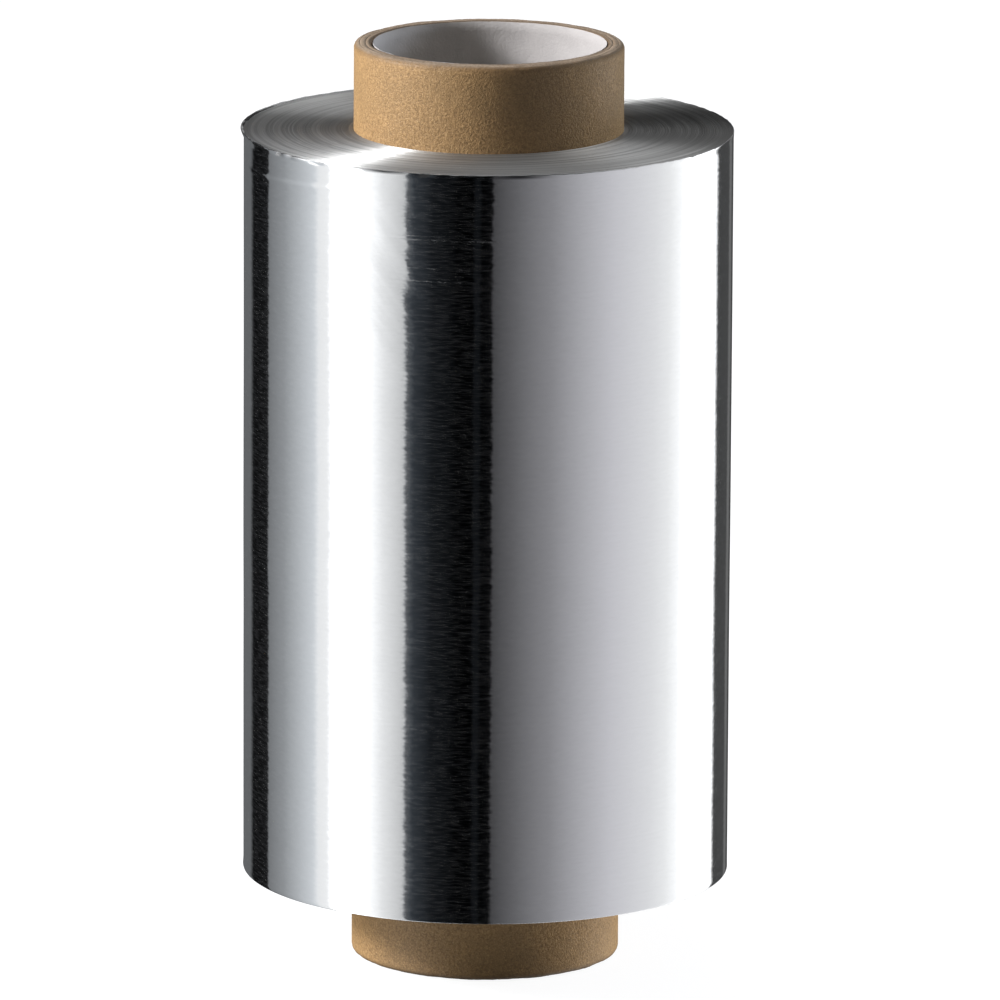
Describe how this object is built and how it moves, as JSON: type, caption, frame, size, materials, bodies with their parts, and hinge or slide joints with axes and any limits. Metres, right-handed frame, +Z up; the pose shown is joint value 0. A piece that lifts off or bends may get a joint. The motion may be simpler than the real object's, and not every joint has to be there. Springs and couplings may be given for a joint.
{
  "type": "aluminium foil roll",
  "caption": "Upright roll of bright aluminium foil wound on a brown cardboard core that stands out of the winding at both ends.",
  "frame": {"origin": "centre of the core's lower end, on the surface that the roll stands on", "axes": "+Z up along the core's axis; X and Y are across the roll"},
  "size_m": [0.0808, 0.0808, 0.154],
  "materials": {
    "foil": "bright rolled foil, nearly a mirror",
    "core_board": "matt brown board, spiral wound",
    "liner_paper": "matt pale paper"
  },
  "bodies": {
    "root": {"foil_winding": "foil", "core_tube": "core_board", "core_liner": "liner_paper"}
  },
  "joints": []
}
